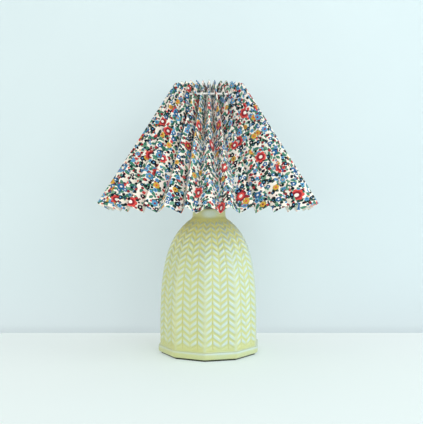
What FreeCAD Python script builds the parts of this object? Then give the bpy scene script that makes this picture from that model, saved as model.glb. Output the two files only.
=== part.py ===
import FreeCAD, Part
import math
import os

# Ceramic table lamp with a pleated shade, in millimetres, +Z up.
# The origin is the middle of the felt's underside. The front is -Y, the cord outlet is at the back, +Y.

os.makedirs("parts", exist_ok=True)
Vec = FreeCAD.Vector
ORIGIN = Vec(0, 0, 0)
UP = Vec(0, 0, 1)

# Ceramic body: a slip-cast dome with flat sides, a foot band below and a round neck collar above
FACETS = 10
BODY_APOTHEM = 57.0         # axis to the middle of an upright facet
BODY_HEIGHT = 158.5         # ceramic underside to the neck collar
BODY_WALL = 5.0
UPRIGHT_HEIGHT = 28.5       # above this the wall curves in
SHOULDER_RISE = 0.41        # fullness of the lower shoulder, a share of the curve's height
SHOULDER_SPREAD = 0.94      # fullness of the upper shoulder, a share of the curve's width
SHOULDER_DROP = 22.7        # how far the shoulder's upper handle lies below the neck
FOOT_APOTHEM = 59.2
FOOT_HEIGHT = 7.0           # upright part of the foot band
FOOT_ROUND = 2.1            # rounded lower edge of the foot band
NECK_RADIUS = 20.2
NECK_TOP_RADIUS = 19.4
NECK_HEIGHT = 11.5
NECK_ROUND = 1.5
NECK_PLATE = 5.0            # closed top of the neck, clamped by the nipple

# Felt under the foot and the grommet in the cord outlet
FELT_THICK = 2.0
FELT_INSET = 1.5
OUTLET_RADIUS = 5.0
OUTLET_MARGIN = 1.2         # foot band to the grommet's lip
GROMMET_BORE = 3.3
GROMMET_LIP = 1.5
GROMMET_REACH = 2.0         # how far the lips overlap the wall
GROMMET_GAP = 0.1

# Threaded nipple and what it clamps on the neck
NIPPLE_RADIUS = 5.0
NIPPLE_BORE = 3.5
NIPPLE_PROUD = 4.0          # thread left below the lock nut
THREAD_GAP = 0.05
NECK_HOLE_GAP = 1.0
WASHER_GAP = 0.3
WASHER_MARGIN = 2.0         # neck bore to the washers' edge
FIBRE_THICK = 1.5
STEEL_THICK = 1.5
NUT_THICK = 4.0
NUT_FLATS = 17.0
CAP_RADIUS = 17.6
CAP_THICK = 2.0

# Lampholder with a threaded skirt
HOLDER_RADIUS = 19.5
HOLDER_WALL = 2.5
DOME_BASE_RADIUS = 15.0
DOME_HEIGHT = 20.0
DOME_FLOOR = 4.0
DOME_LEDGE = 14.0           # height of the step that carries the insert
DOME_LEDGE_WIDTH = 2.0
BOSS_WALL = 4.0
BOSS_HEIGHT = 6.0
LOCK_SCREW_RADIUS = 1.5
SKIRT_HEIGHT = 32.0
SKIRT_CHAMFER = 1.0
INSERT_GAP = 0.3
INSERT_FLOOR = 8.0
INSERT_HEIGHT = 30.0
SHELL_RADIUS = 13.5         # inside of the holder's screw shell
SHELL_WALL = 0.6
SHELL_GAP = 0.1
SHELL_HEIGHT = 21.0
SHELL_FLOOR_RADIUS = 9.0
TONGUE_WIDTH = 6.0
TONGUE_THICK = 0.6
TONGUE_LIFT = 3.0
TONGUE_REACH = 4.5
TONGUE_FOOT = 3.5
TERMINAL_RADIUS = 3.0
TERMINAL_HEIGHT = 3.0
TERMINAL_OFFSET = 10.5

# Two rings on the skirt's thread clamp the carrier's fitter
RING_RADIUS = 26.0
RING_LOWER_LEVEL = 24.0     # underside of the lower ring above the neck cap
RING_HEIGHT = 6.0
RING_FLANGE = 2.0           # thickness of each ring's wide flange
RING_HUB_WALL = 2.6
RING_PLAY = 0.1

# Wire carrier: a flat fitter, three bent arms and the ring that the shade sits on
FITTER_RADIUS = 31.0
FITTER_THICK = 1.5
FITTER_GAP = 0.5
ARMS = 3
ARM_RADIUS = 1.5
ARM_INSET = 0.6
ARM_LOWER_RUN = 10.0
ARM_UPPER_RUN = 12.0
ARM_BEND = 9.0
ARM_PROUD = 1.0             # arm's end above the ring's middle
WELD_GAP = 0.1
CARRIER_RISE = 81.5         # fitter's top to the middle of the carrier ring
CARRIER_WIRE = 1.75

# Pleated shade: a straight strip, folded and gathered to a cone; radii are those of the outer folds
PLEATS = 36
PLEAT_WIDTH = 15.0
SHADE_TOP_RADIUS = 41.2
SHADE_BOTTOM_RADIUS = 131.5
SHADE_HEIGHT = 141.5
SHEET_THICK = 0.5
PANEL_SPANS = 3             # straight stretches that follow a panel's twist
SEAT_DROP = 28.0            # top edge to the seat on the carrier ring, along an inner fold
SEAT_GAP = 0.3
CORD_DROP = 15.7            # top edge to the gathering cord, along the folds
CORD_IN = 0.38              # share of a panel from its outer fold to the cord
CORD_RADIUS = 1.1
CORD_GAP = 0.3

# Bulb: a small globe on a screw cap
BULB_CLEAR = 0.3            # tip contact above the holder's tongue
TIP_RADIUS = 4.5
TIP_HEIGHT = 2.0
TIP_CROWN = 0.8
INSULATOR_HEIGHT = 8.0
INSULATOR_FOOT = 5.0
INSULATOR_RIM = 2.0
BULB_CAP_RADIUS = 13.1
BULB_CAP_WALL = 0.6
BULB_CAP_HEIGHT = 18.0
BULB_CAP_GAP = 0.1
HOUSING_WALL = 1.5
HOUSING_FLARE = 18.0        # height of the housing above the cap
HOUSING_TOP_RADIUS = 20.2
HOUSING_RIM = 2.7
GLOBE_RADIUS = 22.5
GLOBE_WALL = 1.0
PLATE_THICK = 1.2
PLATE_GAP = 0.2
BOARD_WIDTH = 16.0
BOARD_THICK = 1.6

# Heights of the stack, from the table up
body_base = FELT_THICK
neck_base = body_base + BODY_HEIGHT
neck_top = neck_base + NECK_HEIGHT
plate_under = neck_top - NECK_PLATE
holder_base = neck_top + CAP_THICK
insert_base = holder_base + DOME_LEDGE
insert_floor = insert_base + INSERT_FLOOR
ring_base = holder_base + RING_LOWER_LEVEL
fitter_base = ring_base + RING_HEIGHT
fitter_top = fitter_base + FITTER_THICK
carrier_level = fitter_top + CARRIER_RISE
bulb_base = insert_floor + TONGUE_LIFT + TONGUE_THICK + BULB_CLEAR


def save(name, shape):
    """Write one node, and print its size so that a bad solid is seen at once."""
    print(name, len(shape.Solids), shape.isValid(), round(shape.Volume, 1))
    shape.exportStep(f"parts/{name}.step")


def at(radius, height):
    """A point of a flat outline in the XZ plane."""
    return Vec(radius, 0, height)


def line(start, end):
    return Part.LineSegment(start, end).toShape()


def arc(start, middle, end):
    return Part.Arc(start, middle, end).toShape()


def quarter(start, end, centre):
    """A quarter round between two outline points about a centre."""
    radius = start.distanceToPoint(centre)
    bisector = (start - centre) + (end - centre)
    return arc(start, centre + bisector.normalize() * radius, end)


def bezier(*poles):
    curve = Part.BezierCurve()
    curve.setPoles(list(poles))
    return curve.toShape()


def turned(*points, lift=0.0):
    """A solid of revolution about Z from a closed outline of (radius, height) points."""
    corners = [at(radius, height + lift) for radius, height in points]
    outline = Part.makePolygon(corners + corners[:1])
    return Part.Face(outline).revolve(ORIGIN, UP, 360)


def turned_wire(edges):
    """A solid of revolution about Z from a closed chain of edges."""
    return Part.Face(Part.Wire(edges)).revolve(ORIGIN, UP, 360)


def tube(inner, outer, base, height):
    """A plain round ring with flat ends."""
    return turned((inner, 0), (outer, 0), (outer, height), (inner, height), lift=base)


def prism(sides, apothem, base, height):
    """An upright regular prism with the middle of one side facing +Y."""
    corner_radius = apothem / math.cos(math.pi / sides)
    angles = [math.pi / 2 + math.pi * (2 * k + 1) / sides for k in range(sides)]
    corners = [Vec(corner_radius * math.cos(a), corner_radius * math.sin(a), base) for a in angles]
    return Part.Face(Part.makePolygon(corners + corners[:1])).extrude(UP * height)


# Ceramic body
# The wall's section is drawn once, drawn out along a facet, cut to that facet's wedge and repeated.
foot_ledge = (FOOT_APOTHEM - BODY_APOTHEM) / 2
foot_top = FOOT_HEIGHT + 2 * foot_ledge
inner_apothem = BODY_APOTHEM - BODY_WALL
neck_bore = NECK_RADIUS - BODY_WALL
curve_height = BODY_HEIGHT - UPRIGHT_HEIGHT
shoulder_low = UPRIGHT_HEIGHT + SHOULDER_RISE * curve_height
shoulder_wide = NECK_RADIUS + SHOULDER_SPREAD * (BODY_APOTHEM - NECK_RADIUS)
lean = math.atan2(SHOULDER_DROP, shoulder_wide - NECK_RADIUS)
wall_in = BODY_WALL * math.sin(lean)
wall_down = BODY_WALL * math.cos(lean)


def body_section():
    """Closed section of the ceramic wall, from the foot's underside to the neck."""
    foot_in = at(inner_apothem, 0)
    foot_out = at(FOOT_APOTHEM - FOOT_ROUND, 0)
    band_low = at(FOOT_APOTHEM, FOOT_ROUND)
    band_high = at(FOOT_APOTHEM, FOOT_HEIGHT)
    band_turn = at(FOOT_APOTHEM - foot_ledge, FOOT_HEIGHT + foot_ledge)
    wall_low = at(BODY_APOTHEM, foot_top)
    wall_high = at(BODY_APOTHEM, UPRIGHT_HEIGHT)
    neck_out = at(NECK_RADIUS, BODY_HEIGHT)
    neck_in = at(neck_bore, BODY_HEIGHT)
    bore_low = at(neck_bore, BODY_HEIGHT - BODY_WALL)
    inner_high = at(inner_apothem, UPRIGHT_HEIGHT)
    upper_handle = at(shoulder_wide, BODY_HEIGHT - SHOULDER_DROP)
    inner_handle = upper_handle - at(wall_in, wall_down)
    edges = [
        line(foot_in, foot_out),
        quarter(foot_out, band_low, at(FOOT_APOTHEM - FOOT_ROUND, FOOT_ROUND)),
        line(band_low, band_high),
        quarter(band_high, band_turn, at(FOOT_APOTHEM - foot_ledge, FOOT_HEIGHT)),
        quarter(band_turn, wall_low, at(FOOT_APOTHEM - foot_ledge, foot_top)),
        line(wall_low, wall_high),
        bezier(wall_high, at(BODY_APOTHEM, shoulder_low), upper_handle, neck_out),
        line(neck_out, neck_in),
        line(neck_in, bore_low),
        bezier(bore_low, inner_handle, at(inner_apothem, shoulder_low), inner_high),
        line(inner_high, foot_in),
    ]
    return Part.Face(Part.Wire(edges))


def facet_wall():
    """One facet of the wall, with the middle of its outside facing +Y."""
    half_angle = math.pi / FACETS
    reach = 2 * FOOT_APOTHEM
    half_width = reach * math.tan(half_angle)
    drawn = body_section().translated(Vec(0, -half_width, 0)).extrude(Vec(0, 2 * half_width, 0))
    corners = [ORIGIN, Vec(reach, -half_width, 0), Vec(reach, half_width, 0), ORIGIN]
    wedge = Part.Face(Part.makePolygon(corners)).extrude(UP * BODY_HEIGHT)
    return drawn.common(wedge).rotated(ORIGIN, UP, 90)


def neck_collar():
    rim = NECK_TOP_RADIUS - NECK_ROUND
    hole = NIPPLE_RADIUS + NECK_HOLE_GAP
    top = BODY_HEIGHT + NECK_HEIGHT
    under = top - NECK_PLATE
    side_top = at(NECK_TOP_RADIUS, top - NECK_ROUND)
    edges = [
        line(at(neck_bore, BODY_HEIGHT), at(NECK_RADIUS, BODY_HEIGHT)),
        line(at(NECK_RADIUS, BODY_HEIGHT), side_top),
        quarter(side_top, at(rim, top), at(rim, top - NECK_ROUND)),
        line(at(rim, top), at(hole, top)),
        line(at(hole, top), at(hole, under)),
        line(at(hole, under), at(neck_bore, under)),
        line(at(neck_bore, under), at(neck_bore, BODY_HEIGHT)),
    ]
    return turned_wire(edges)


grommet_lip_radius = OUTLET_RADIUS + GROMMET_REACH
outlet_height = foot_top + OUTLET_MARGIN + grommet_lip_radius

facet = facet_wall()
facets = [facet.rotated(ORIGIN, UP, 360 * k / FACETS) for k in range(1, FACETS)]
ceramic = facet.multiFuse(facets + [neck_collar()]).removeSplitter()
outlet_start = Vec(0, inner_apothem - BODY_WALL, outlet_height)
outlet = Part.makeCylinder(OUTLET_RADIUS, 3 * BODY_WALL, outlet_start, Vec(0, 1, 0))
save("ceramic_body", ceramic.cut(outlet).translated(UP * body_base))

# Felt glued under the foot, closing the open underside
save("foot_felt", prism(FACETS, FOOT_APOTHEM - FOOT_ROUND - FELT_INSET, 0, FELT_THICK))

# Grommet: a sleeve through the wall with a lip on each side, turned and then laid along +Y
sleeve = OUTLET_RADIUS - GROMMET_GAP
grommet = turned(
    (GROMMET_BORE, -BODY_WALL - GROMMET_LIP),
    (grommet_lip_radius, -BODY_WALL - GROMMET_LIP),
    (grommet_lip_radius, -BODY_WALL),
    (sleeve, -BODY_WALL),
    (sleeve, 0),
    (grommet_lip_radius, 0),
    (grommet_lip_radius - GROMMET_LIP, GROMMET_LIP),
    (GROMMET_BORE, GROMMET_LIP),
)
grommet = grommet.rotated(ORIGIN, Vec(1, 0, 0), -90)
save("cord_grommet", grommet.translated(Vec(0, BODY_APOTHEM, body_base + outlet_height)))

# Clamped stack on the neck: fibre washer, steel washer and nut inside, cap on top, nipple through all
washer_radius = neck_bore - WASHER_MARGIN
washer_hole = NIPPLE_RADIUS + WASHER_GAP
fibre_base = plate_under - FIBRE_THICK
steel_base = fibre_base - STEEL_THICK
nut_base = steel_base - NUT_THICK
thread_hole = NIPPLE_RADIUS + THREAD_GAP
boss_top = holder_base + DOME_FLOOR + BOSS_HEIGHT
nipple_base = nut_base - NIPPLE_PROUD
save("fibre_washer", tube(washer_hole, washer_radius, fibre_base, FIBRE_THICK))
save("steel_washer", tube(washer_hole, washer_radius, steel_base, STEEL_THICK))
nut_bore = Part.makeCylinder(thread_hole, NUT_THICK, UP * nut_base)
save("lock_nut", prism(6, NUT_FLATS / 2, nut_base, NUT_THICK).cut(nut_bore))
save("threaded_nipple", tube(NIPPLE_BORE, NIPPLE_RADIUS, nipple_base, boss_top - nipple_base))
save("neck_cap", turned(
    (washer_hole, 0),
    (CAP_RADIUS, 0),
    (CAP_RADIUS, CAP_THICK / 2),
    (CAP_RADIUS - CAP_THICK / 2, CAP_THICK),
    (washer_hole, CAP_THICK),
    lift=neck_top,
))

# Lampholder dome, with a threaded boss for the nipple and a ledge for the insert
bore_radius = HOLDER_RADIUS - HOLDER_WALL
ledge_radius = bore_radius - DOME_LEDGE_WIDTH
boss_radius = thread_hole + BOSS_WALL
dome_side = Part.makePolygon([
    at(HOLDER_RADIUS, DOME_FLOOR + HOLDER_WALL),
    at(HOLDER_RADIUS, DOME_HEIGHT),
    at(bore_radius, DOME_HEIGHT),
    at(bore_radius, DOME_LEDGE),
    at(ledge_radius, DOME_LEDGE),
    at(ledge_radius, DOME_FLOOR),
    at(boss_radius, DOME_FLOOR),
    at(boss_radius, DOME_FLOOR + BOSS_HEIGHT),
    at(thread_hole, DOME_FLOOR + BOSS_HEIGHT),
    at(thread_hole, 0),
    at(DOME_BASE_RADIUS, 0),
])
dome_curve = bezier(
    at(DOME_BASE_RADIUS, 0),
    at(HOLDER_RADIUS, 0),
    at(HOLDER_RADIUS, DOME_FLOOR + HOLDER_WALL),
)
dome = turned_wire(dome_side.Edges + [dome_curve])
lock_start = Vec(0, 0, DOME_FLOOR + BOSS_HEIGHT / 2)
lock_length = boss_radius - thread_hole
lock_hole = Part.makeCylinder(LOCK_SCREW_RADIUS + THREAD_GAP, boss_radius, lock_start, Vec(1, 0, 0))
save("holder_dome", dome.cut(lock_hole).translated(UP * holder_base))
lock_screw = Part.makeCylinder(LOCK_SCREW_RADIUS, lock_length, ORIGIN, Vec(1, 0, 0))
save("holder_lock_screw", lock_screw.translated(lock_start + Vec(thread_hole, 0, holder_base)))

# Threaded skirt, standing on the dome
skirt_top = DOME_HEIGHT + SKIRT_HEIGHT
save("holder_skirt", turned(
    (bore_radius, DOME_HEIGHT),
    (HOLDER_RADIUS, DOME_HEIGHT),
    (HOLDER_RADIUS, skirt_top - SKIRT_CHAMFER),
    (HOLDER_RADIUS - SKIRT_CHAMFER, skirt_top),
    (bore_radius, skirt_top),
    lift=holder_base,
))

# Insert of the holder, with the screw shell in its cup and the tongue and terminals on its floor
insert_radius = bore_radius - INSERT_GAP
cup_radius = SHELL_RADIUS + SHELL_WALL + SHELL_GAP
save("holder_insert", turned(
    (0, 0),
    (insert_radius, 0),
    (insert_radius, INSERT_HEIGHT),
    (cup_radius, INSERT_HEIGHT),
    (cup_radius, INSERT_FLOOR),
    (0, INSERT_FLOOR),
    lift=insert_base,
))
save("holder_screw_shell", turned(
    (SHELL_FLOOR_RADIUS, 0),
    (SHELL_RADIUS + SHELL_WALL, 0),
    (SHELL_RADIUS + SHELL_WALL, SHELL_HEIGHT),
    (SHELL_RADIUS, SHELL_HEIGHT),
    (SHELL_RADIUS, SHELL_WALL),
    (SHELL_FLOOR_RADIUS, SHELL_WALL),
    lift=insert_floor,
))
tongue_under = [
    at(-TONGUE_REACH - TONGUE_FOOT, 0),
    at(-TONGUE_REACH, 0),
    at(0, TONGUE_LIFT),
    at(TONGUE_REACH, TONGUE_LIFT),
]
tongue_over = [corner + UP * TONGUE_THICK for corner in reversed(tongue_under)]
tongue_side = Part.Face(Part.makePolygon(tongue_under + tongue_over + tongue_under[:1]))
tongue = tongue_side.extrude(Vec(0, TONGUE_WIDTH, 0))
save("holder_centre_contact", tongue.translated(Vec(0, -TONGUE_WIDTH / 2, insert_floor)))
terminal_base = insert_base - TERMINAL_HEIGHT
terminals = [
    Part.makeCylinder(TERMINAL_RADIUS, TERMINAL_HEIGHT, Vec(side * TERMINAL_OFFSET, 0, terminal_base))
    for side in (-1, 1)
]
save("holder_terminal_screws", Part.Compound(terminals))

# Shade rings: each a hub on the skirt's thread with a wide flange towards the fitter
ring_bore = HOLDER_RADIUS + THREAD_GAP
ring_hub = ring_bore + RING_HUB_WALL
ring_section = [
    (ring_bore, 0),
    (RING_RADIUS, 0),
    (RING_RADIUS, RING_FLANGE),
    (ring_hub, RING_FLANGE),
    (ring_hub, RING_HEIGHT),
    (ring_bore, RING_HEIGHT),
]
lower_section = [(radius, RING_HEIGHT - height) for radius, height in ring_section]
save("lower_shade_ring", turned(*lower_section, lift=ring_base))
save("upper_shade_ring", turned(*ring_section, lift=fitter_top + RING_PLAY))

# Pleats
# The strip is cut square, so each panel's ends stay square to its fold lines: where the fold is deep,
# the inner fold ends lower than the outer one. The depth follows from the panel's width.
half_pitch = math.pi / PLEATS
cone_slope = (SHADE_BOTTOM_RADIUS - SHADE_TOP_RADIUS) / SHADE_HEIGHT


def pleat_depth(ridge_radius):
    """Depth of a fold, inwards from the outer fold, for panels of the pleat's width."""
    spread = math.tan(half_pitch) ** 2
    stretch = 1 + cone_slope ** 2 + spread
    across = spread * ridge_radius
    reach = across ** 2 - stretch * (across * ridge_radius - PLEAT_WIDTH ** 2)
    return (across + math.sqrt(reach)) / stretch


def fold_lean(top, bottom):
    """Angle of a fold line from the upright."""
    return math.atan2(bottom[0] - top[0], top[1] - bottom[1])


ridge_lean = math.atan(cone_slope)
fold_length = math.hypot(SHADE_HEIGHT, SHADE_BOTTOM_RADIUS - SHADE_TOP_RADIUS)


def inside(point, sideways):
    """The matching point on the sheet's inner face, through the fold's mitre."""
    mitre = SHEET_THICK * PLEAT_WIDTH / sideways
    return point[0] - mitre * math.cos(ridge_lean), point[1] - mitre * math.sin(ridge_lean)


def fold_level(share):
    """Ridge, ridge inside, valley and valley inside, as (radius, height), part of the way down the folds."""
    ridge_radius = SHADE_TOP_RADIUS + share * (SHADE_BOTTOM_RADIUS - SHADE_TOP_RADIUS)
    depth = pleat_depth(ridge_radius)
    ridge = (ridge_radius, -share * SHADE_HEIGHT)
    valley = ((ridge_radius - depth) / math.cos(half_pitch), ridge[1] - depth * cone_slope)
    ridge_inside = inside(ridge, valley[0] * math.sin(half_pitch))
    valley_inside = inside(valley, ridge[0] * math.sin(half_pitch))
    return ridge, ridge_inside, valley, valley_inside


levels = [fold_level(k / PANEL_SPANS) for k in range(PANEL_SPANS + 1)]


def between(start, end, share):
    return tuple(a + share * (b - a) for a, b in zip(start, end))


def along_fold(drop):
    """The two levels that a drop down the folds lies between, and the share of the way between them."""
    place = drop / fold_length * PANEL_SPANS
    span = min(int(place), PANEL_SPANS - 1)
    return levels[span], levels[span + 1], place - span


# The seat on the carrier ring sets the ring's radius and the height of the shade
seat_above, seat_below, seat_share = along_fold(SEAT_DROP)
seat = between(seat_above[3], seat_below[3], seat_share)
seat_lean = fold_lean(seat_above[3], seat_below[3])
seat_stand = CARRIER_WIRE + SEAT_GAP
carrier_radius = seat[0] - seat_stand * math.cos(seat_lean)
shade_top = carrier_level - seat[1] + seat_stand * math.sin(seat_lean)


def ring_points(level, ridge_face, valley_face):
    """All fold points of one face of the sheet at one level, the first ridge facing -Y."""
    points = []
    for k in range(2 * PLEATS):
        radius, height = level[valley_face] if k % 2 else level[ridge_face]
        angle = k * half_pitch - math.pi / 2
        points.append(Vec(radius * math.cos(angle), radius * math.sin(angle), shade_top + height))
    return points


def panel_faces(first, second):
    """Ruled faces, one for each panel, between two rings of points."""
    faces = []
    for k in range(2 * PLEATS):
        after = (k + 1) % (2 * PLEATS)
        faces.append(Part.makeRuledSurface(line(first[k], first[after]), line(second[k], second[after])))
    return faces


outer_rings = [ring_points(level, 0, 2) for level in levels]
inner_rings = [ring_points(level, 1, 3) for level in levels]
sheet_faces = []
for k in range(PANEL_SPANS):
    sheet_faces += panel_faces(outer_rings[k], outer_rings[k + 1])
    sheet_faces += panel_faces(inner_rings[k], inner_rings[k + 1])
sheet_faces += panel_faces(outer_rings[0], inner_rings[0])
sheet_faces += panel_faces(outer_rings[-1], inner_rings[-1])
sheet_shell = Part.makeShell(sheet_faces)
sheet_shell.sewShape()
sheet = Part.makeSolid(sheet_shell)
if sheet.Volume < 0:
    sheet.reverse()

# Gathering cord, threaded through a hole punched in every panel
cord_above, cord_below, cord_share = along_fold(CORD_DROP)
cord_ridge = between(cord_above[0], cord_below[0], cord_share)
cord_valley = between(cord_above[2], cord_below[2], cord_share)
cord_place = between(cord_ridge, cord_valley, CORD_IN)
cord_middle = UP * (shade_top + cord_place[1])
holes = Part.makeTorus(cord_place[0], CORD_RADIUS + CORD_GAP, cord_middle, UP)
save("pleated_shade", sheet.cut(holes))
save("gather_cord", Part.makeTorus(cord_place[0], CORD_RADIUS, cord_middle, UP))

# Carrier under the shade
save("carrier_fitter", tube(HOLDER_RADIUS + FITTER_GAP, FITTER_RADIUS, fitter_base, FITTER_THICK))
save("carrier_ring", Part.makeTorus(carrier_radius, CARRIER_WIRE, UP * carrier_level, UP))


def bent_wire(points, bend, radius):
    """Round wire along straight runs joined by tangent arcs of one bend radius."""
    edges = []
    start = points[0]
    for before, corner, after in zip(points, points[1:], points[2:]):
        back = (before - corner).normalize()
        forth = (after - corner).normalize()
        half_turn = (math.pi - back.getAngle(forth)) / 2
        setback = bend * math.tan(half_turn)
        bisector = (back + forth).normalize()
        middle = corner + bisector * (bend / math.cos(half_turn) - bend)
        edges.append(line(start, corner + back * setback))
        edges.append(arc(corner + back * setback, middle, corner + forth * setback))
        start = corner + forth * setback
    edges.append(line(start, points[-1]))
    section = Part.Wire(Part.Circle(points[0], points[1] - points[0], radius).toShape())
    return Part.Wire(edges).makePipeShell([section], True, False)


arm_foot = FITTER_RADIUS - ARM_INSET - ARM_RADIUS
arm_head = carrier_radius - CARRIER_WIRE - ARM_RADIUS - WELD_GAP
arm_route = [
    at(arm_foot, fitter_top),
    at(arm_foot, fitter_top + ARM_LOWER_RUN),
    at(arm_head, carrier_level - ARM_UPPER_RUN),
    at(arm_head, carrier_level + ARM_PROUD),
]
arm = bent_wire(arm_route, ARM_BEND, ARM_RADIUS)
save("carrier_arms", Part.Compound([arm.rotated(ORIGIN, UP, 90 + 360 * k / ARMS) for k in range(ARMS)]))

# Bulb: heights below are measured up from its tip contact
cap_inside = BULB_CAP_RADIUS - BULB_CAP_WALL
neck_fit = cap_inside - BULB_CAP_GAP
insulator_top = TIP_HEIGHT + INSULATOR_HEIGHT
cap_base = insulator_top - INSULATOR_RIM
cap_top = cap_base + BULB_CAP_HEIGHT
housing_top = cap_top + HOUSING_FLARE
tip_edges = [
    line(at(0, TIP_HEIGHT), at(TIP_RADIUS, TIP_HEIGHT)),
    line(at(TIP_RADIUS, TIP_HEIGHT), at(TIP_RADIUS, TIP_CROWN)),
    bezier(at(TIP_RADIUS, TIP_CROWN), at(TIP_RADIUS, 0), at(0, 0)),
    line(at(0, 0), at(0, TIP_HEIGHT)),
]
save("bulb_tip_contact", turned_wire(tip_edges).translated(UP * bulb_base))
save("bulb_insulator", turned(
    (0, TIP_HEIGHT),
    (INSULATOR_FOOT, TIP_HEIGHT),
    (neck_fit, cap_base),
    (neck_fit, insulator_top),
    (0, insulator_top),
    lift=bulb_base,
))
save("bulb_cap", turned(
    (cap_inside, cap_base),
    (BULB_CAP_RADIUS, cap_base + BULB_CAP_WALL),
    (BULB_CAP_RADIUS, cap_top),
    (cap_inside, cap_top),
    lift=bulb_base,
))
housing_floor = insulator_top + HOUSING_WALL
housing_inside = neck_fit - HOUSING_WALL
flare_middle = cap_top + HOUSING_FLARE / 2
housing_ledge = HOUSING_TOP_RADIUS - HOUSING_RIM
housing_outer = bezier(
    at(BULB_CAP_RADIUS, cap_top),
    at(HOUSING_TOP_RADIUS - HOUSING_WALL, flare_middle),
    at(HOUSING_TOP_RADIUS, housing_top),
)
housing_inner = bezier(
    at(housing_ledge, housing_top),
    at(HOUSING_TOP_RADIUS - 2 * HOUSING_RIM, flare_middle),
    at(housing_inside, cap_top),
)
housing_neck = Part.makePolygon([
    at(housing_inside, cap_top),
    at(housing_inside, housing_floor),
    at(0, housing_floor),
    at(0, insulator_top),
    at(neck_fit, insulator_top),
    at(neck_fit, cap_top),
    at(BULB_CAP_RADIUS, cap_top),
])
housing_rim = line(at(HOUSING_TOP_RADIUS, housing_top), at(housing_ledge, housing_top))
housing = turned_wire([housing_outer, housing_rim, housing_inner] + housing_neck.Edges)
save("bulb_housing", housing.translated(UP * bulb_base))

globe_middle = housing_top + math.sqrt(GLOBE_RADIUS ** 2 - HOUSING_TOP_RADIUS ** 2)
globe_inside = GLOBE_RADIUS - GLOBE_WALL
globe_mouth = math.sqrt(globe_inside ** 2 - (globe_middle - housing_top) ** 2)
globe_top = at(0, globe_middle + GLOBE_RADIUS)
globe_inside_top = at(0, globe_middle + globe_inside)
globe_edges = [
    arc(at(HOUSING_TOP_RADIUS, housing_top), at(GLOBE_RADIUS, globe_middle), globe_top),
    line(globe_top, globe_inside_top),
    arc(globe_inside_top, at(globe_inside, globe_middle), at(globe_mouth, housing_top)),
    line(at(globe_mouth, housing_top), at(HOUSING_TOP_RADIUS, housing_top)),
]
save("bulb_globe", turned_wire(globe_edges).translated(UP * bulb_base))
plate_radius = globe_mouth - PLATE_GAP
save("bulb_lamp_plate", tube(0, plate_radius, bulb_base + housing_top, PLATE_THICK))
board_height = housing_top - housing_floor
board_corner = Vec(-BOARD_WIDTH / 2, -BOARD_THICK / 2, bulb_base + housing_floor)
save("bulb_driver_board", Part.makeBox(BOARD_WIDTH, BOARD_THICK, board_height, board_corner))

print("shade top", round(shade_top, 2), "hem", round(shade_top + levels[-1][2][1], 2))
print("carrier ring radius", round(carrier_radius, 2), "level", round(carrier_level, 2))
print("cord radius", round(cord_place[0], 2), "level", round(cord_middle.z, 2))
print("bulb top", round(bulb_base + globe_middle + GLOBE_RADIUS, 2))
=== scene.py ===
import math

import bmesh
import bpy
import numpy as np
from mathutils import Matrix, Vector


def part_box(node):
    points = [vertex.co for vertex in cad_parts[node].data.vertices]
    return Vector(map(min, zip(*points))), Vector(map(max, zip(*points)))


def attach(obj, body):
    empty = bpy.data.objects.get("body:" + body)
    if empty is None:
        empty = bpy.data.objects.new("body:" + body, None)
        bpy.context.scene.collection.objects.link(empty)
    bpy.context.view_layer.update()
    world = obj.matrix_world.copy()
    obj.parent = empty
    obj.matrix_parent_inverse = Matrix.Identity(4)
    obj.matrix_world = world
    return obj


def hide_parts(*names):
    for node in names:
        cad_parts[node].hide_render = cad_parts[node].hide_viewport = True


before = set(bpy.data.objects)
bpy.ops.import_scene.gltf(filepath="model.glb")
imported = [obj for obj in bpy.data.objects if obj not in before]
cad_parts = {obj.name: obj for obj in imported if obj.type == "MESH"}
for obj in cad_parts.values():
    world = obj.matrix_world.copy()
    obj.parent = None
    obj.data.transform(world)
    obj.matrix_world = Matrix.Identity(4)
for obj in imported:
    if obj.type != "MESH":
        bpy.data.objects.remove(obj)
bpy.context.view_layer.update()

# Felt pad
# A ten-sided piece of dark wool felt, die-cut from sheet and glued under the foot, so that the glaze
# doesn't scratch the table. Its edge shows as a thin dark line under the ceramic, its colour deepened with
# painted shadow for the contact shadow under the foot.


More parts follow.
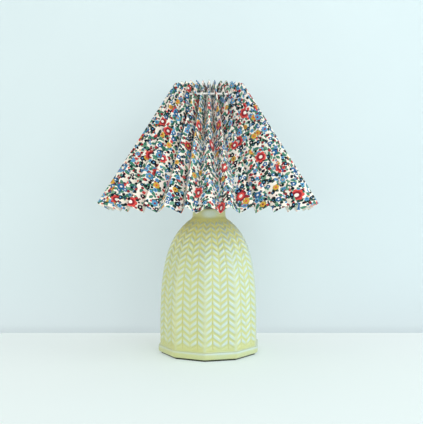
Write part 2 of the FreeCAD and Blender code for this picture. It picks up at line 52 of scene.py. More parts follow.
class Socket:
    """An output of a node tree that can be used in sums: each operator adds a Math node to the tree."""

    def __init__(self, output):
        self.output = output

    def node(self, kind, settings=None, inputs=None, result=0):
        """Add a node of any kind: its settings first, then the values or links of its sockets."""
        tree = self.output.id_data
        made = tree.nodes.new(kind)
        for key, value in (settings or {}).items():
            if key == "stops":
                set_stops(made.color_ramp, value)
            else:
                setattr(made, key, value)
        for key, value in (inputs or {}).items():
            if isinstance(value, Socket):
                tree.links.new(value.output, made.inputs[key])
            else:
                made.inputs[key].default_value = value
        return Socket(made.outputs[result])

    def maths(self, operation, *others):
        return self.node("ShaderNodeMath", {"operation": operation}, dict(enumerate((self, *others))))

    def __add__(self, other):
        return self.maths("ADD", other)

    def __sub__(self, other):
        return self.maths("SUBTRACT", other)

    def __rsub__(self, other):
        return self.node("ShaderNodeMath", {"operation": "SUBTRACT"}, {0: other, 1: self})

    def __mul__(self, other):
        return self.maths("MULTIPLY", other)

    def __truediv__(self, other):
        return self.maths("DIVIDE", other)

    def __gt__(self, other):
        return self.maths("GREATER_THAN", other)

    __radd__ = __add__
    __rmul__ = __mul__

    def ramp(self, low, high):
        """0 below low, 1 above high and a smooth rise between them."""
        limits = {"Value": self, "From Min": low, "From Max": high}
        return self.node("ShaderNodeMapRange", {"interpolation_type": "SMOOTHSTEP"}, limits)

    def mixed(self, under, over):
        """A colour that goes from under to over as this value goes from 0 to 1."""
        settings = {"data_type": "RGBA"}
        return self.node("ShaderNodeMix", settings, {0: self, 6: under, 7: over}, result=2)

    def noise(self, scale, detail=3.0, roughness=0.5):
        """Cloudy noise on these coordinates, from 0 to 1."""
        inputs = {"Vector": self, "Scale": scale, "Detail": detail, "Roughness": roughness}
        return self.node("ShaderNodeTexNoise", None, inputs)

    def bump(self, distance, strength=1.0):
        """A surface direction from this height, which runs from 0 to 1."""
        return self.node("ShaderNodeBump", None, {"Height": self, "Distance": distance, "Strength": strength})

    def axes(self):
        """The three numbers of these coordinates."""
        parts = self.node("ShaderNodeSeparateXYZ", None, {"Vector": self})
        return [Socket(output) for output in parts.output.node.outputs]

    def attribute(self, name):
        """A number that the piece carries on its points."""
        return self.node("ShaderNodeAttribute", {"attribute_name": name}, result=2)


def set_stops(color_ramp, stops):
    """Fill a colour ramp with (position, colour) stops, each held until the next."""
    color_ramp.interpolation = "CONSTANT"
    while len(color_ramp.elements) < len(stops):
        color_ramp.elements.new(1.0)
    for element, (position, colour) in zip(color_ramp.elements, stops):
        element.position = position
        element.color = colour


def srgb(red, green, blue):
    """A colour as it is read off a screen, from 0 to 255, in the linear values that a shader takes."""
    shares = [value / 255 for value in (red, green, blue)]
    return tuple(s / 12.92 if s <= 0.04045 else ((s + 0.055) / 1.055) ** 2.4 for s in shares) + (1.0,)


def new_finish(name):
    """A new material, and the object coordinates that its pattern starts from."""
    material = bpy.data.materials.new(name)
    material.use_nodes = True
    return material, Socket(material.node_tree.nodes.new("ShaderNodeTexCoord").outputs["Object"])


def set_finish(material, looks):
    """Put values and links on the sockets of a material's main shader."""
    shader = material.node_tree.nodes["Principled BSDF"]
    for key, value in looks.items():
        if isinstance(value, Socket):
            material.node_tree.links.new(value.output, shader.inputs[key])
        else:
            shader.inputs[key].default_value = value


def uneven_finish(name, pale, dark, patch, grain, relief, gloss, looks=None):
    """A finish of two close screen colours in soft patches, with a fine grain that roughens and dents it.
    patch and grain are lengths, relief is the depth of the grain and gloss the two ends of the roughness."""
    material, where = new_finish(name)
    cloud = where.noise(1 / patch)
    fine = where.noise(1 / grain, detail=2.0)
    set_finish(material, {
        "Base Color": cloud.ramp(0.3, 0.7).mixed(srgb(*dark), srgb(*pale)),
        "Roughness": gloss[0] + fine * (gloss[1] - gloss[0]),
        "Normal": fine.bump(relief),
        **(looks or {}),
    })
    return material


def dress(node, material):
    """Give a CAD node its finish."""
    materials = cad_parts[node].data.materials
    materials.clear()
    materials.append(material)


# Painted shadow: the felt's dark colour is partly its own and partly deepened for the contact shadow under
# the foot.
dress("foot_felt", uneven_finish(
    "dark_felt_and_painted_shadow", (46, 49, 44), (30, 33, 30), patch=0.004, grain=0.0006, relief=0.0004, gloss=(0.9, 1.0),
    looks={"Sheen Weight": 0.35, "Sheen Roughness": 0.6, "Specular IOR Level": 0.1}))

# Ceramic body
# A slip-cast dome of white earthenware with ten flat sides, a foot band and a round neck. A herringbone
# is pressed into its sides, and the yellow glaze pools in the grooves and breaks white on raised edges.
body_low, body_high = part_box("ceramic_body")
FACETS = 10
WALL_APOTHEM = 0.0570          # axis to the middle of an upright side
FOOT_APOTHEM = body_high.y
FOOT_ROUND = 0.0021
FOOT_HEIGHT = 0.0070
UPRIGHT_HEIGHT = 0.0285
SHOULDER_LOW = 0.0818          # height of the curve's lower handle
SHOULDER_HIGH = 0.1358         # height and width of its upper handle
SHOULDER_WIDE = 0.0548
NECK_LEVEL = 0.1585
NECK_RADIUS = 0.0202
NECK_TOP_RADIUS = 0.0194
NECK_BLEND = 0.0028             # how far the soft corner under the neck reaches each way
NECK_TOP = body_high.z - body_low.z
NECK_ROUND = 0.0015
NECK_HOLE = 0.0060
PLATE_THICK = 0.0050
WALL_THICK = 0.0050
CORNER_SHARPNESS = 100.0       # higher is a crisper corner between two sides
ROW_PITCH = 0.00757            # one row of the herringbone, up the wall
ROW_SLOPE = math.tan(math.radians(37))  # of a tile, where the sides are full width
ROW_STEEPENS = 0.65            # how much of its rise a row keeps where the sides narrow, from 0 to 1
PATTERN_START = 0.0007         # the first row at a spine, above the foot band
RELIEF_START = (0.0004, 0.0040)  # where the relief starts above the band and where it is full
WHITE_START = (0.0015, 0.0090)  # the same for the white on the tiles
RUN_IN_ROWS = 2                # rows over which the zigzag bends up from the straight foot band
RUN_IN_LINES = 40
GROOVE = (0.13, 0.33)          # share of a row where the groove's floor ends and the tile's top starts
STEM = (0.85, 0.94)            # share of a column where the tile's top ends and the stem's floor starts
SPINE = (0.02, 0.24)           # the same at the middle of a side, from the spine outwards
SPINE_DEPTH = (0.40, 0.95)     # how deep the spine is cut, low down and high up
SPINE_LEVELS = (0.2 * NECK_LEVEL, 0.8 * NECK_LEVEL)
CORNER_WEAR = (0.75, 0.0)      # how much of the relief is lost on the corners, low down and high up
CORNER_START = 0.80            # where a corner starts, as a share of the way to it
RELIEF_HEIGHT = 0.00084
RELIEF_PROUD = 0.00025         # how far the tiles stand out of the wall's own surface
ROUND_FROM = 0.030             # below the neck, where the sides start to turn round
LEVEL_FROM = 0.016             # below the neck, where the rows start to run level
PATTERN_END = (0.0050, 0.0010)  # below the neck, where the pattern starts to fade and where it is gone
SHALLOW_FROM = (0.060, 0.010)  # below the neck, where the glaze starts to fill the relief and has filled it
SHOULDER_SHALLOW = 0.5         # how much of the relief's depth it fills there
POOL = 0.6                     # how ochre the glaze is in the stems
POOL_END = (0.060, 0.120)      # up the wall, where that starts to fade and where it is gone
CORNER_WHITE = (0.06, 0.42)    # how white the grooves are on a side, and how much more on a corner
FOOT_WHITE = (0.27, 0.68)      # how white the foot band is, and how much more at its upper edge
FOOT_WHITE_WIDE = 0.0012
NECK_WHITE = (0.14, 0.62)      # how white the neck is, and how much more in a whiter patch on one side
NECK_PATCH = math.radians(-101)  # the side of the neck where that whiter patch is painted, the side that faces the camera
NECK_PATCH_WIDE = math.sin(math.radians(36) / 2)
NECK_PATCH_TALL = 0.0060        # half the height of that patch
NECK_PATCH_EDGE = (0.35, 1.25)  # shares of its size where it starts to fade and where it is gone
SIDE_LIGHT_SPAN = (-0.055, 0.010)  # across the body, from its yellower, less white left side to its whiter right one: painted shade away from the main light, painted light facing it
LAMPSHADE_LIGHT_SPAN = (0.115, 0.165)    # up the body, where the painted light under the lampshade starts and where it is strongest; the tiles there also whiten less, in patches
GLAZE_NECK = (0.159, 0.162)    # up the body, where it changes to the neck's greyer yellow
OUTLET_LEVEL = 0.0194
OUTLET_RADIUS = 0.0050
OUTLET_PLAIN = (0.0075, 0.0095)  # how far from its middle the relief starts and is full
INSIDE_HANDLE = (0.0028, 0.0041)  # how far the shoulder's upper handle moves for the inner face


def quarter_round(centre, radius, start, sweep, steps):
    """Points on part of a circle in the wall's section, from a start angle through a sweep in degrees."""
    angles = np.radians(start + np.linspace(0, sweep, steps))
    return [(centre[0] + radius * math.cos(a), centre[1] + radius * math.sin(a)) for a in angles]


def handled_curve(start, first, second, end, steps):
    """Points on a curve with two handles."""
    t = np.linspace(0, 1, steps)[:, None]
    poles = [np.array(pole) for pole in (start, first, second, end)]
    return ((1 - t) ** 3 * poles[0] + 3 * t * (1 - t) ** 2 * poles[1]
            + 3 * t ** 2 * (1 - t) * poles[2] + t ** 3 * poles[3])


def smooth(values, low, high):
    """0 below low, 1 above high and a smooth rise between them."""
    t = np.clip((values - low) / (high - low), 0, 1)
    return t * t * (3 - 2 * t)


def ring_faces(rows, columns):
    """The numbers of a grid's points, and its faces where it meets itself both ways round."""
    index = np.arange(rows * columns).reshape(rows, columns)
    right = np.roll(index, -1, axis=1)
    return index, np.stack([index, right, np.roll(right, -1, axis=0), np.roll(index, -1, axis=0)], axis=-1)


def wrapped(name, points):
    """A closed skin over a grid of points that meets itself both ways round, as on a ring."""
    index, faces = ring_faces(*points.shape[:2])
    return skin(name, points.reshape(-1, 3), faces.reshape(-1, 4), 40)


def added(name, data):
    """A new object in the scene that holds a mesh, a light or a camera."""
    made = bpy.data.objects.new(name, data)
    bpy.context.collection.objects.link(made)
    return made


def shaped(name, shape):
    """A new object from a finished shape."""
    mesh = bpy.data.meshes.new(name)
    shape.to_mesh(mesh)
    shape.free()
    return added(name, mesh)


def skin(name, points, faces, smooth_angle):
    """A smooth-shaded piece from points and faces, with its sharper edges kept."""
    mesh = bpy.data.meshes.new(name)
    mesh.from_pydata(points.tolist(), [], faces.tolist())
    mesh.shade_smooth()
    mesh.set_sharp_from_angle(angle=math.radians(smooth_angle))
    return added(name, mesh)


def add_attribute(piece, name, values):
    """One number for each point of a piece, for its finish or its node tree to read."""
    attribute = piece.data.attributes.new(name, "FLOAT", "POINT")
    attribute.data.foreach_set("value", np.ascontiguousarray(values, dtype=np.float32).ravel())


def new_tree(name, **inputs):
    """A geometry node tree with named inputs, listed by their kind, and those inputs to build on."""
    tree = bpy.data.node_groups.new(name, "GeometryNodeTree")
    tree.interface.new_socket("Geometry", in_out="OUTPUT", socket_type="NodeSocketGeometry")
    for kind, labels in inputs.items():
        for label in labels:
            tree.interface.new_socket(label, in_out="INPUT", socket_type="NodeSocket" + kind)
    entry = tree.nodes.new("NodeGroupInput")
    return tree, {output.name: Socket(output) for output in entry.outputs}


def end_tree(tree, geometry, material):
    """Close a tree: what it made becomes plain mesh with its material."""
    plain = geometry.node("GeometryNodeRealizeInstances", None, {"Geometry": geometry})
    coated = plain.node("GeometryNodeSetMaterial", None, {"Geometry": plain, "Material": material})
    tree.links.new(coated.output, tree.nodes.new("NodeGroupOutput").inputs["Geometry"])


def settle(piece, modifier):
    """Turn what a modifier makes of a piece into the piece's own mesh."""
    depsgraph = bpy.context.evaluated_depsgraph_get()
    made = bpy.data.meshes.new_from_object(
        piece.evaluated_get(depsgraph), preserve_all_data_layers=True, depsgraph=depsgraph)
    piece.modifiers.remove(modifier)
    piece.data = made


def run_tree(piece, tree, values):
    """Run a node tree on a piece with these inputs and keep the result."""
    modifier = piece.modifiers.new(tree.name, "NODES")
    modifier.node_group = tree
    for item in tree.interface.items_tree:
        if item.name in values:
            modifier[item.identifier] = values[item.name]
    settle(piece, modifier)


def place(piece, body, slot, *nodes, finish=None):
    """Give a piece its finish, let it ride on its body and hide the CAD nodes it stands for. slot is not
    used.
    """
    if finish:
        piece.data.materials.append(finish)
    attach(piece, body)
    if nodes:
        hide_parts(*nodes)


def glaze():
    """Yellow glaze on white clay: thin and white where it runs off, deep and ochre where it pools."""
    material, where = new_finish("yellow_glaze")
    cloud = where.noise(55.0)
    fine = where.noise(900.0, detail=2.0)
    sideways, _, height = where.axes()
    # Painted light and shade: the side toward the main light is painted whiter, the far side yellower and
    # less white.
    side_light = sideways.ramp(*SIDE_LIGHT_SPAN)
    high_up = height.ramp(*LAMPSHADE_LIGHT_SPAN)
    on_neck = height.ramp(*GLAZE_NECK)
    flowed = 1 - where.noise(170.0, detail=2.0).ramp(0.38, 0.62)
    covered = 0.4 * high_up * (1 - on_neck) * flowed
    thin = where.attribute("thin") * (0.50 + 0.22 * side_light + 0.30 * cloud)
    cover = thin * (1 - covered) + 0.10 * (fine - 0.5)
    yellow = cloud.ramp(0.25, 0.75).mixed(srgb(196, 199, 134), srgb(190, 198, 141))
    # Painted light: the top of the dome under the lampshade is painted brighter and warmer, for the light
    # that comes through and off the cloth.
    yellow_with_painted_light = on_neck.mixed(high_up.mixed(yellow, srgb(236, 232, 147)), srgb(196, 194, 127))
    # The white where the glaze breaks is the clay's own white with a painted blue-green reflection of the
    # cool room.
    broken = cover.ramp(0.0, 1.0).mixed(yellow_with_painted_light, srgb(194, 211, 209))
    set_finish(material, {
        "Base Color": where.attribute("pool").mixed(broken, srgb(180, 176, 92)),
        "Roughness": 0.22 + 0.16 * fine,
        "Normal": where.noise(260.0, detail=2.0).bump(0.00012),
        "Coat Weight": 0.35,
        "Coat Roughness": 0.12,
    })
    return material


def herringbone_tree():
    """Presses the herringbone into a wall that carries its own rows and columns as attributes."""
    tree, given = new_tree("herringbone", Geometry=["Geometry"], Material=["Glaze"], Float=[
        "Groove Floor", "Tile Top", "Stem Top", "Stem Floor", "Spine Floor", "Spine Top", "Relief Height",
        "Relief Proud"])
    wall = given["Geometry"]

    def carried(name):
        return wall.node("GeometryNodeInputNamedAttribute", {"data_type": "FLOAT"}, {"Name": name})

    column = carried("column")
    step = carried("row").maths("FRACT")
    from_groove = step.maths("MINIMUM", 1 - step)
    bar = from_groove.ramp(given["Groove Floor"], given["Tile Top"])
    stem = 1 - column.ramp(given["Stem Top"], given["Stem Floor"])
    spine = 1 - carried("centre") * (1 - column.ramp(given["Spine Floor"], given["Spine Top"]))
    tile = bar * stem * spine
    rise = carried("depth") * (tile * given["Relief Height"] + given["Relief Proud"] - given["Relief Height"])
    facing = wall.node("GeometryNodeInputNormal")
    offset = facing.node("ShaderNodeVectorMath", {"operation": "SCALE"}, {0: facing, "Scale": rise})
    pressed = wall.node("GeometryNodeSetPosition", None, {"Geometry": wall, "Offset": offset})
    thin = carried("edge").maths("MAXIMUM", tile * carried("strength"))
    named = pressed.node("GeometryNodeStoreNamedAttribute", {"data_type": "FLOAT"}, {
        "Geometry": pressed, "Name": "thin", "Value": thin})
    end_tree(tree, named, given["Glaze"])
    return tree


# The columns round the wall: each side has two peaks, with a spine at its middle and a corner at each end
rising = np.array([0, SPINE[0], 0.09, 0.16, SPINE[1], 0.45, 0.66, STEM[0], STEM[1]])
half_side = np.concatenate([rising / 2, [0.5], 1 - rising[:0:-1] / 2])
across_side = np.concatenate([half_side - 1, half_side])
half_angle = math.pi / FACETS
side_angle = np.arctan(across_side * math.tan(half_angle))
side_middles = -math.pi / 2 + 2 * half_angle * np.arange(FACETS)
angle = (side_middles[:, None] + side_angle[None, :]).ravel()
column = np.tile(1 - np.abs(2 * np.tile(half_side, 2) - 1), FACETS)
centre = np.tile(np.abs(across_side) < 0.5, FACETS)
from_middle = np.tile(np.abs(side_angle), FACETS)

# The wall's section up to the neck, measured along its surface from the top of the foot band
foot_ledge = (FOOT_APOTHEM - WALL_APOTHEM) / 2
foot_top = FOOT_HEIGHT + 2 * foot_ledge
neck_corner = np.array((NECK_RADIUS, NECK_LEVEL))
neck_rise = np.array((NECK_TOP_RADIUS, NECK_TOP - NECK_ROUND)) - neck_corner
shoulder = handled_curve(
    (WALL_APOTHEM, UPRIGHT_HEIGHT), (WALL_APOTHEM, SHOULDER_LOW), (SHOULDER_WIDE, SHOULDER_HIGH),
    neck_corner, 240)
shoulder = shoulder[np.hypot(*(shoulder - neck_corner).T) > NECK_BLEND]
neck_start = neck_corner + neck_rise * NECK_BLEND / np.hypot(*neck_rise)
neck_blend = handled_curve(
    shoulder[-1], (shoulder[-1] + 2 * neck_corner) / 3, (neck_start + 2 * neck_corner) / 3, neck_start, 9)
wall_line = np.vstack([[(WALL_APOTHEM, foot_top)], shoulder, neck_blend[1:]])
wall_run = np.concatenate([[0], np.cumsum(np.hypot(*np.diff(wall_line, axis=0).T))])
wall_length = wall_run[-1] - NECK_BLEND

# Lines up the wall: a few to each row, bent into the zigzag wherever the pattern runs
groove_rise = (GROOVE[0], sum(GROOVE) / 2, GROOVE[1])
row_lines = (0, *groove_rise, 0.5, *(1 - share for share in groove_rise[::-1]))
row_count = int((wall_length - PATTERN_START) / ROW_PITCH)
pattern_lines = [
    PATTERN_START + (n + f) * ROW_PITCH for n in range(RUN_IN_ROWS, row_count) for f in row_lines]
run_in = np.linspace(0, pattern_lines[0], RUN_IN_LINES, endpoint=False)
run_out = np.linspace(PATTERN_START + row_count * ROW_PITCH, wall_length, 6, endpoint=False)
neck_lines = np.linspace(wall_length, wall_run[-1], 5)
wall_lines = np.concatenate([run_in, pattern_lines, run_out, neck_lines])[:, None]


def zigzag(run):
    """How far the rows rise from a spine to a peak: less where the sides are narrower."""
    narrowing = np.interp(run, wall_run, wall_line[:, 0]) / WALL_APOTHEM
    return ROW_SLOPE * WALL_APOTHEM * math.tan(half_angle) / 2 * narrowing ** (1 - ROW_STEEPENS)


bending = smooth(wall_lines, 0, pattern_lines[0]) * (
    1 - smooth(wall_lines, wall_length - LEVEL_FROM, wall_length))
run = wall_lines + zigzag(wall_lines) * bending * column[None, :]
row = (run - PATTERN_START - zigzag(run) * column[None, :]) / ROW_PITCH
apothem = np.interp(run, wall_run, wall_line[:, 0])
level = np.interp(run, wall_run, wall_line[:, 1])


def ringed(wide, high, round_share):
    """Radius and height of rows of points round the body, from ten-sided with soft corners to round."""
    near = np.cos(from_middle) ** CORNER_SHARPNESS + np.cos(2 * half_angle - from_middle) ** CORNER_SHARPNESS
    radius = (1 - round_share) * (wide * near ** (-1 / CORNER_SHARPNESS)) + round_share * wide
    return np.stack(np.broadcast_arrays(radius, high), axis=-1)


def even_rows(section, round_share):
    """The same from (apothem, height) pairs."""
    return ringed(*np.array(section).T[:, :, None], round_share)


ledge_middle = FOOT_APOTHEM - foot_ledge
foot_section = (
    quarter_round((FOOT_APOTHEM - FOOT_ROUND, FOOT_ROUND), FOOT_ROUND, -90, 90, 6)
    + [(FOOT_APOTHEM, share * FOOT_HEIGHT) for share in (0.5, 0.75)]
    + quarter_round((ledge_middle, FOOT_HEIGHT), foot_ledge, 0, 90, 5)
    + quarter_round((ledge_middle, foot_top), foot_ledge, -90, -90, 5)[1:-1]
)
neck_bore = NECK_RADIUS - WALL_THICK
neck_section = (
    [tuple(neck_start + share * (neck_corner + neck_rise - neck_start)) for share in (0.25, 0.5, 0.75)]
    + quarter_round((NECK_TOP_RADIUS - NECK_ROUND, NECK_TOP - NECK_ROUND), NECK_ROUND, 0, 90, 6)
    + [(NECK_HOLE, NECK_TOP), (NECK_HOLE, NECK_TOP - PLATE_THICK), (neck_bore, NECK_TOP - PLATE_THICK),
       (neck_bore, NECK_LEVEL - WALL_THICK)]
)
inner_apothem = WALL_APOTHEM - WALL_THICK
inside_section = [tuple(point) for point in handled_curve(
    (neck_bore, NECK_LEVEL - WALL_THICK),
    (SHOULDER_WIDE - INSIDE_HANDLE[0], SHOULDER_HIGH - INSIDE_HANDLE[1]),
    (inner_apothem, SHOULDER_LOW), (inner_apothem, UPRIGHT_HEIGHT), 14)[1:]]
inside_section += [(inner_apothem, 0.0)]
roundness = smooth(wall_lines, wall_length - ROUND_FROM, wall_length)
rows = np.concatenate([
    even_rows(foot_section, 0.0), ringed(apothem, level, roundness), even_rows(neck_section, 1.0),
    even_rows(inside_section, 0.0)])
body_points = np.stack([
    rows[..., 0] * np.cos(angle), rows[..., 0] * np.sin(angle), rows[..., 1] + body_low.z], axis=-1)

# What the wall carries for its relief and its glaze: row and column of the herringbone, how deep it is
# pressed, how white its tiles and its edges are, and where the glaze pools
ceramic = wrapped("ceramic_body_glazed", body_points)
wall_from = len(foot_section)
wall_to = wall_from + len(wall_lines)
on_wall = slice(wall_from, wall_to)
carried_names = ("row", "column", "centre", "strength", "depth", "edge", "pool")
carried_values = {name: np.zeros(rows.shape[:2]) for name in carried_names}
carried_values["row"][on_wall] = row
carried_values["column"][:] = column
carried_values["centre"][:] = centre * np.interp(rows[..., 1], SPINE_LEVELS, SPINE_DEPTH)
from_outlet = np.hypot(body_points[..., 0], body_points[..., 2] - OUTLET_LEVEL)
plain = np.where(body_points[..., 1] > 0, smooth(from_outlet, *OUTLET_PLAIN), 1.0)
wear = np.interp(rows[..., 1], (0, NECK_LEVEL), CORNER_WEAR)
on_corner = smooth(from_middle, CORNER_START * half_angle, half_angle)[None, :]
unworn = (plain * (1 - wear * on_corner))[on_wall]
unworn = unworn * (1 - smooth(run, *(wall_length - below for below in PATTERN_END)))
filled = SHOULDER_SHALLOW * smooth(run, *(wall_length - below for below in SHALLOW_FROM))
depth = unworn * smooth(run, *RELIEF_START) * (1 - filled)
carried_values["strength"][on_wall] = unworn * smooth(run, *WHITE_START)
carried_values["depth"][on_wall] = depth
carried_values["pool"][on_wall] = (column > STEM[1]) * POOL * (1 - smooth(run, *POOL_END)) * depth
foot_edge = np.exp(-((np.array(foot_section)[:, 1] - FOOT_HEIGHT) / FOOT_WHITE_WIDE) ** 2)
carried_values["edge"][:wall_from] = (FOOT_WHITE[0] + FOOT_WHITE[1] * foot_edge)[:, None]
above = rows[wall_from:, :, 1] - NECK_LEVEL
# A whiter oval patch on the neck, on the side that faces the camera.
aside = np.sin((angle - NECK_PATCH) / 2) / NECK_PATCH_WIDE
neck_patch = 1 - smooth(np.hypot(aside, above / NECK_PATCH_TALL - 1), *NECK_PATCH_EDGE)
carried_values["edge"][wall_from:] = np.where(
    above < 0, CORNER_WHITE[0] + CORNER_WHITE[1] * on_corner, NECK_WHITE[0] + NECK_WHITE[1] * neck_patch)
carried_values["edge"][wall_to + len(neck_section):] = 1.0
for name, values in carried_values.items():
    add_attribute(ceramic, name, values)
run_tree(ceramic, herringbone_tree(), {
    "Groove Floor": GROOVE[0], "Tile Top": GROOVE[1], "Stem Top": STEM[0], "Stem Floor": STEM[1],
    "Spine Floor": SPINE[0], "Spine Top": SPINE[1], "Relief Height": RELIEF_HEIGHT,
    "Relief Proud": RELIEF_PROUD, "Glaze": glaze(),
})

# The cord outlet is drilled through the back wall before firing
drill = bmesh.new()
drill_place = Matrix.Translation((0, WALL_APOTHEM, OUTLET_LEVEL)) @ Matrix.Rotation(math.pi / 2, 4, "X")
bmesh.ops.create_cone(
    drill, cap_ends=True, segments=40, radius1=OUTLET_RADIUS, radius2=OUTLET_RADIUS,
    depth=4 * WALL_THICK, matrix=drill_place)
drill_piece = shaped("outlet_drill", drill)
drilled = ceramic.modifiers.new("outlet", "BOOLEAN")
drilled.object = drill_piece
drilled.solver = "EXACT"
settle(ceramic, drilled)
bpy.data.objects.remove(drill_piece)
place(ceramic, "base", "yellow_glaze", "ceramic_body")

# Grommet
# A black rubber bush snapped into the outlet hole, with a lip on each face of the wall. It keeps the
# glazed edge off whatever passes through.
dress("cord_grommet", uneven_finish(
    "black_rubber", (52, 52, 53), (38, 38, 40), patch=0.005, grain=0.0007, relief=0.00012, gloss=(0.55, 0.75),
    looks={"Specular IOR Level": 0.35}))

# Clamped stack in the neck
# A threaded steel tube runs through the neck. A nut pulls it down over a steel and a fibre washer, and a
# black lacquered cap covers the neck's rim from above.
NIPPLE_PITCH = 0.0010
NIPPLE_SWING = 0.0003          # half the depth of its thread
NIPPLE_BORE = 0.0035
METAL = {"Metallic": 1.0}


def turned(name, section, columns=72, pitch=None):
    """A closed ring from its section, (radius, height, thread swing) points that run up the outside.
    The swing moves a point in and out along a helix of that pitch."""
    around = np.linspace(0, 2 * math.pi, columns, endpoint=False)[None, :]
    radius, height, swing = (np.array(part)[:, None] for part in zip(*section))
    if pitch:
        radius = radius + swing * np.cos(2 * math.pi * height / pitch - around)
    points = np.broadcast_arrays(radius * np.cos(around), radius * np.sin(around), height)
    return wrapped(name, np.stack(points, axis=-1))


def thread_rows(radius, swing, base, top, pitch, steps=8):
    """Section points up a threaded stretch."""
    count = max(2, round((top - base) / pitch * steps) + 1)
    return [(radius, height, swing) for height in np.linspace(base, top, count)]


zinc = uneven_finish(
    "zinc_plate", (196, 198, 196), (172, 176, 178), 0.003, 0.0004, 0.00003, (0.28, 0.48), METAL)
red_fibre = uneven_finish("red_fibre", (134, 72, 56), (108, 54, 44), 0.002, 0.0003, 0.00005, (0.6, 0.8))
black_lacquer = uneven_finish(
    "black_lacquer", (40, 40, 41), (30, 30, 32), 0.006, 0.0009, 0.00004, (0.25, 0.4),
    {"Coat Weight": 0.3, "Coat Roughness": 0.15})
for node, finish in (
        ("steel_washer", zinc), ("lock_nut", zinc), ("fibre_washer", red_fibre), ("neck_cap", black_lacquer)):
    dress(node, finish)
low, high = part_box("threaded_nipple")
place(turned("threaded_nipple_cut", [
    *thread_rows(high.x - NIPPLE_SWING, NIPPLE_SWING, low.z, high.z, NIPPLE_PITCH, 6),
    (NIPPLE_BORE, high.z, 0), (NIPPLE_BORE, low.z, 0)], 40, NIPPLE_PITCH),
    "base", "zinc_steel", "threaded_nipple", finish=zinc)

# Lampholder
# A black moulded dome and a threaded skirt round a porcelain insert. The insert holds the brass screw
# shell, the springy centre contact and the two terminals.
SKIRT_PITCH = 0.0025
SKIRT_SWING = 0.00035
SKIRT_BORE = 0.0170
SKIRT_LIP = 0.0010
SHELL_PITCH = 0.0254 / 7
SHELL_SWING = 0.00024
SHELL_WALL = 0.0003
SHELL_HOLE = 0.0090            # in the shell's floor, round the centre contact
black_moulding = uneven_finish(
    "black_moulding", (36, 35, 35), (26, 26, 27), 0.008, 0.0008, 0.00005, (0.3, 0.45), {"Coat Weight": 0.2})
brass = uneven_finish(
    "brass", (206, 172, 104), (184, 146, 82), 0.004, 0.0005, 0.00003, (0.22, 0.42), METAL)
porcelain = uneven_finish(
    "porcelain", (238, 236, 228), (226, 223, 213), 0.006, 0.001, 0.00003, (0.12, 0.24),
    {"Coat Weight": 0.5, "Coat Roughness": 0.08})
for node, finish in (
        ("holder_dome", black_moulding), ("holder_lock_screw", zinc), ("holder_insert", porcelain),
        ("holder_centre_contact", brass), ("holder_terminal_screws", brass)):
    dress(node, finish)
low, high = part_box("holder_skirt")
place(turned("holder_skirt_threaded", [
    *thread_rows(high.x - SKIRT_SWING, SKIRT_SWING, low.z, high.z - SKIRT_LIP, SKIRT_PITCH),
    (high.x - SKIRT_LIP, high.z, 0), (SKIRT_BORE, high.z, 0), (SKIRT_BORE, low.z, 0)], 96, SKIRT_PITCH),
    "base", "black_plastic", "holder_skirt", finish=black_moulding)
low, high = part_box("holder_screw_shell")
shell_middle = high.x - SHELL_SWING
shell_side = thread_rows(shell_middle, SHELL_SWING, low.z + SHELL_WALL, high.z, SHELL_PITCH, 10)
place(turned("holder_screw_shell_rolled", [
    (SHELL_HOLE, low.z, 0), (shell_middle - SHELL_SWING, low.z, 0), *shell_side,
    *[(radius - SHELL_WALL, height, swing) for radius, height, swing in shell_side[::-1]],
    (SHELL_HOLE, low.z + SHELL_WALL, 0)], 72, SHELL_PITCH),
    "base", "brass", "holder_screw_shell", finish=brass)

# Shade rings
# Two moulded rings screw on the skirt from above and below and grip the carrier between their flanges.
# Small ribs round each flange give the fingers a hold.
RIB_COUNT = 60
RIB_RADIUS = 0.0007
RING_FLANGE = 0.0020
RING_HUB = 0.02215
RING_BORE = 0.01955
RING_EDGE = 0.0003             # how far its sharp edges are broken


def ribbed_ring_tree():
    """Sets upright ribs all round the edge of a ring's flange."""
    tree, given = new_tree(
        "ribbed ring", Geometry=["Geometry"], Material=["Moulding"], Int=["Rib Count"],
        Float=["Rib Radius", "Rib Length", "Edge Radius", "Level"])
    ring = given["Geometry"]
    circle = ring.node("GeometryNodeMeshCircle", None, {
        "Vertices": given["Rib Count"], "Radius": given["Edge Radius"]})
    height = ring.node("ShaderNodeCombineXYZ", None, {"Z": given["Level"]})
    raised = circle.node("GeometryNodeSetPosition", None, {"Geometry": circle, "Offset": height})
    rib = ring.node("GeometryNodeMeshCylinder", None, {
        "Vertices": 8, "Radius": given["Rib Radius"], "Depth": given["Rib Length"]})
    ribs = raised.node("GeometryNodeInstanceOnPoints", None, {"Points": raised, "Instance": rib})
    joined = ribs.node("GeometryNodeJoinGeometry")
    join_socket = joined.output.node.inputs["Geometry"]
    tree.links.new(ribs.output, join_socket)
    tree.links.new(ring.output, join_socket)
    end_tree(tree, joined, given["Moulding"])
    return tree


ring_tree = ribbed_ring_tree()
for node, flange_below in (("lower_shade_ring", False), ("upper_shade_ring", True)):
    low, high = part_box(node)
    hub_top = high.z - low.z
    flange_edge = high.x - RIB_RADIUS
    section = [
        (RING_BORE, 0), (flange_edge - RING_EDGE, 0), (flange_edge, RING_EDGE),
        (flange_edge, RING_FLANGE - RING_EDGE), (flange_edge - RING_EDGE, RING_FLANGE),
        (RING_HUB, RING_FLANGE), (RING_HUB, hub_top - RING_EDGE), (RING_HUB - RING_EDGE, hub_top),
        (RING_BORE, hub_top),
    ]
    base, way = (low.z, 1) if flange_below else (high.z, -1)
    placed = [(radius, base + way * height, 0) for radius, height in section]
    ring = turned(node + "_ribbed", placed[::way], 96)
    run_tree(ring, ring_tree, {
        "Rib Count": RIB_COUNT, "Rib Radius": RIB_RADIUS, "Rib Length": RING_FLANGE - 2 * RING_EDGE,
        "Edge Radius": flange_edge, "Level": base + way * RING_FLANGE / 2, "Moulding": black_moulding,
    })
    place(ring, "base", "black_plastic", node)

